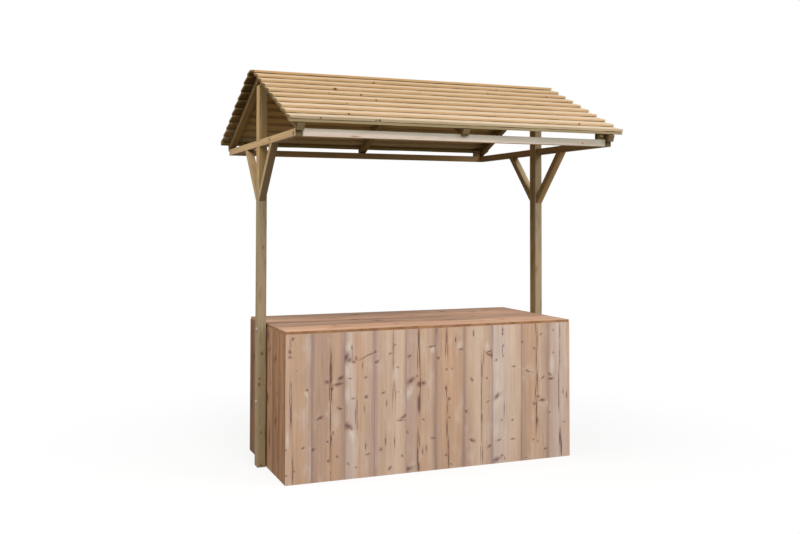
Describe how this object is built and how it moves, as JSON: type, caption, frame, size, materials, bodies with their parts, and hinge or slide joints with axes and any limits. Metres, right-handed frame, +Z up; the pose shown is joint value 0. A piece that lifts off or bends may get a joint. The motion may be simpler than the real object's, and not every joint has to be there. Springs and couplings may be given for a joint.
{
  "type": "wooden market stall",
  "caption": "Market stall: a boxed board counter between two braced posts that carry a gabled roof of lapped boards.",
  "frame": {"origin": "on the ground, below the middle of the ridge", "axes": "+X along the counter and the ridge, to the right seen from the customer's side; +Y from the customer's side to the seller's side; +Z up"},
  "size_m": [2.3992, 2.1278, 2.7954],
  "materials": {
    "decor_board": "satin reclaimed-wood decor board",
    "worktop_board": "satin reclaimed-wood decor board",
    "frame_timber": "green-treated sawn pine, matt",
    "planed_rail": "planed pale pine, matt",
    "roof_boards": "treated pine boards, matt"
  },
  "bodies": {
    "root": {"counter_front_panel": "decor_board", "counter_rear_panel": "decor_board", "counter_left_panel": "decor_board", "counter_right_panel": "decor_board", "worktop": "worktop_board", "post_left": "frame_timber", "post_packer_left": "frame_timber", "cross_beam_left": "frame_timber", "brace_left_front": "frame_timber", "brace_left_rear": "frame_timber", "post_right": "frame_timber", "post_packer_right": "frame_timber", "cross_beam_right": "frame_timber", "brace_right_front": "frame_timber", "brace_right_rear": "frame_timber", "rafter_left_front": "frame_timber", "rafter_left_rear": "frame_timber", "rafter_middle_front": "frame_timber", "rafter_middle_rear": "frame_timber", "rafter_right_front": "frame_timber", "rafter_right_rear": "frame_timber", "eave_rail_rear": "frame_timber", "eave_rail_front": "planed_rail", "roof_board_front_01": "roof_boards", "roof_board_front_02": "roof_boards", "roof_board_front_03": "roof_boards", "roof_board_front_04": "roof_boards", "roof_board_front_05": "roof_boards", "roof_board_front_06": "roof_boards", "roof_board_front_07": "roof_boards", "roof_board_front_08": "roof_boards", "roof_board_front_09": "roof_boards", "roof_board_front_10": "roof_boards", "roof_board_rear_01": "roof_boards", "roof_board_rear_02": "roof_boards", "roof_board_rear_03": "roof_boards", "roof_board_rear_04": "roof_boards", "roof_board_rear_05": "roof_boards", "roof_board_rear_06": "roof_boards", "roof_board_rear_07": "roof_boards", "roof_board_rear_08": "roof_boards", "roof_board_rear_09": "roof_boards", "roof_board_rear_10": "roof_boards", "eave_fillet_front": "roof_boards", "eave_fillet_rear": "roof_boards"}
  },
  "joints": []
}
